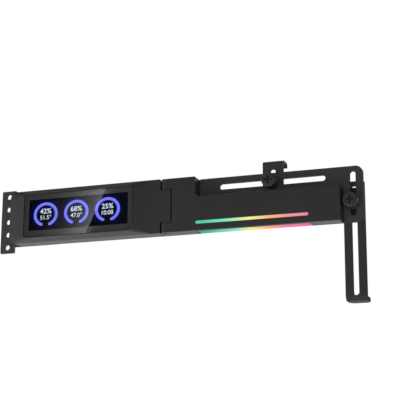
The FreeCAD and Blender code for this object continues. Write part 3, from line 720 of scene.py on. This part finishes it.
def buildFloor():
    # white from afar and in what shines; near the object it keeps half of its own shade and the shadow
    half = studio["floorSize"] / 2
    mesh = bpy.data.meshes.new("floor")
    corners = [(-half, -half, 0), (half, -half, 0), (half, half, 0), (-half, half, 0)]
    mesh.from_pydata(corners, [], [(0, 1, 2, 3)])
    mesh.transform(Matrix.Translation((middle[0], 0, studio["floorZ"])))
    floor = bpy.data.objects.new("floor", mesh)
    bpy.context.scene.collection.objects.link(floor)
    material, tree, shader = newMaterial("paleFloor")
    feedAll(tree, shader, {
        "Base Color": studio["floorTone"], "Roughness": studio["floorRough"],
        "Specular IOR Level": studio["floorSheen"]})
    away = addNode(tree, "ShaderNodeVectorMath", {0: objectVector(tree)}, operation="LENGTH")
    fade = rangeNode(tree, away.outputs["Value"], *studio["floorFade"], studio["floorLift"])
    seen = addNode(tree, "ShaderNodeLightPath").outputs
    direct = mathNode(tree, "MAXIMUM", seen["Is Camera Ray"], seen["Is Transmission Ray"])
    shown = mathNode(tree, "MULTIPLY", direct, fade)
    white = addNode(tree, "ShaderNodeEmission", {"Strength": studio["white"]})
    mix = addNode(tree, "ShaderNodeMixShader", {
        0: mathNode(tree, "MAXIMUM", shown, seen["Is Glossy Ray"]), 1: shader.outputs[0],
        2: white.outputs[0]})
    feed(tree, tree.nodes["Material Output"].inputs["Surface"], mix.outputs[0])
    mesh.materials.append(material)


def buildWorld():
    # white where it is seen; as a light, dim above the front and at the right, so dark faces keep depth
    world = bpy.data.worlds.new("studioWhite")
    world.use_nodes = True
    tree = world.node_tree
    seen = addNode(tree, "ShaderNodeLightPath").outputs
    way = addNode(tree, "ShaderNodeTexCoord").outputs["Generated"]
    axes = addNode(tree, "ShaderNodeSeparateXYZ", {0: way})
    right = rangeNode(tree, axes.outputs["X"], *studio["right"])
    behind = rangeNode(tree, axes.outputs["Y"], *studio["behind"])
    above = rangeNode(tree, axes.outputs["Z"], *studio["above"])
    frontFill = mixValue(tree, above, studio["frontFill"], studio["topFill"])
    backFill = mixValue(tree, right, studio["backFill"], studio["rightFill"])
    fill = mixValue(tree, behind, frontFill, backFill)
    backMirror = mixValue(tree, right, studio["backMirror"], studio["rightMirror"])
    mirror = mixValue(tree, behind, studio["frontMirror"], backMirror)
    mirrored = mathNode(tree, "MAXIMUM", seen["Is Glossy Ray"], seen["Is Transmission Ray"])
    light = mixValue(tree, mirrored, fill, mirror)
    feedAll(tree, tree.nodes["Background"], {
        "Color": (1, 1, 1, 1), "Strength": mixValue(tree, seen["Is Camera Ray"], light, studio["white"])})
    bpy.context.scene.world = world


def addLamp(name, look):
    light = bpy.data.lights.new(name, "AREA")
    light.shape = "RECTANGLE"
    light.size, light.size_y = look["size"]
    light.energy = look["power"]
    lamp = bpy.data.objects.new(name, light)
    lamp.location = look["place"]
    aim = Vector(look.get("aim", middle)) - Vector(look["place"])
    lamp.rotation_euler = aim.to_track_quat("-Z", "Y").to_euler()
    lamp.visible_camera = False
    lamp.visible_transmission = False
    lamp.visible_glossy = look.get("sheen", True)
    bpy.context.scene.collection.objects.link(lamp)


view = {
    "place": (0.45814, -0.79535, -0.19869), "turn": (103.529, -0.247, 20.452),
    "lens": 105.614, "sensor": 36.0, "nearest": 0.01,
}


def buildCamera():
    data = bpy.data.cameras.new("photoCamera")
    data.sensor_width = view["sensor"]
    data.lens = view["lens"]
    data.clip_start = view["nearest"]
    camera = bpy.data.objects.new("photoCamera", data)
    camera.location = view["place"]
    camera.rotation_euler = [math.radians(a) for a in view["turn"]]
    bpy.context.scene.collection.objects.link(camera)
    bpy.context.scene.camera = camera


# the strip light that the front panel mirrors: its edge runs slanting across the panel
glint = {
    "edgeTop": (91.3 * mm, 17.4 * mm), "edgeFoot": (75.1 * mm, -15.8 * mm),
    "left": -40 * mm, "rise": 30 * mm, "distance": -0.6, "bright": 2.0, "fade": 8.0, "steps": (24, 6),
}


def mirroredPoint(x, z):
    # where a sight line by way of the panel's front face meets the plane of the strip light
    eye = Vector(view["place"])
    eye.y = 2 * lensLow.y - eye.y
    spot = Vector((x, lensLow.y, z))
    return eye + (spot - eye) * ((glint["distance"] - eye.y) / (spot.y - eye.y))


def glintMesh():
    # a grid of mirrored points, with its share of the way across kept as a UV map
    (topX, topZ), (footX, footZ) = glint["edgeTop"], glint["edgeFoot"]
    lean = (topX - footX) / (topZ - footZ)
    columns, rows = glint["steps"]
    verts, shares, faces = [], [], []
    for j in range(rows + 1):
        z = glint["rise"] * (2 * j / rows - 1)
        edge = footX + lean * (z - footZ)
        for i in range(columns + 1):
            verts.append(mirroredPoint(glint["left"] + (edge - glint["left"]) * i / columns, z))
            shares.append(i / columns)
    for j in range(rows):
        for i in range(columns):
            k = j * (columns + 1) + i
            faces.append((k + columns + 1, k + columns + 2, k + 1, k))
    mesh = bpy.data.meshes.new("stripLight")
    mesh.from_pydata(verts, [], faces)
    uv = mesh.uv_layers.new(name="across")
    for loop in mesh.loops:
        uv.data[loop.index].uv = (shares[loop.vertex_index], 0)
    return mesh


def buildGlint():
    # brightest along its edge, fading away to the left
    mesh = glintMesh()
    lightPiece = bpy.data.objects.new("stripLight", mesh)
    bpy.context.scene.collection.objects.link(lightPiece)
    lightPiece.visible_camera = False
    lightPiece.visible_shadow = False
    material, tree = newMaterial("stripGlow")[:2]
    place = addNode(tree, "ShaderNodeUVMap", uv_map="across").outputs["UV"]
    across = addNode(tree, "ShaderNodeSeparateXYZ", {0: place}).outputs["X"]
    fade = mathNode(tree, "POWER", across, glint["fade"])
    bright = mathNode(tree, "MULTIPLY", fade, glint["bright"])
    glow = addNode(tree, "ShaderNodeEmission", {"Strength": bright})
    feed(tree, tree.nodes["Material Output"].inputs["Surface"], glow.outputs[0])
    mesh.materials.append(material)


buildFloor()
buildWorld()
buildCamera()
buildGlint()
for name, look in lamps.items():
    addLamp(name, look)
bpy.context.scene.view_settings.view_transform = "Standard"
print("studio ready")
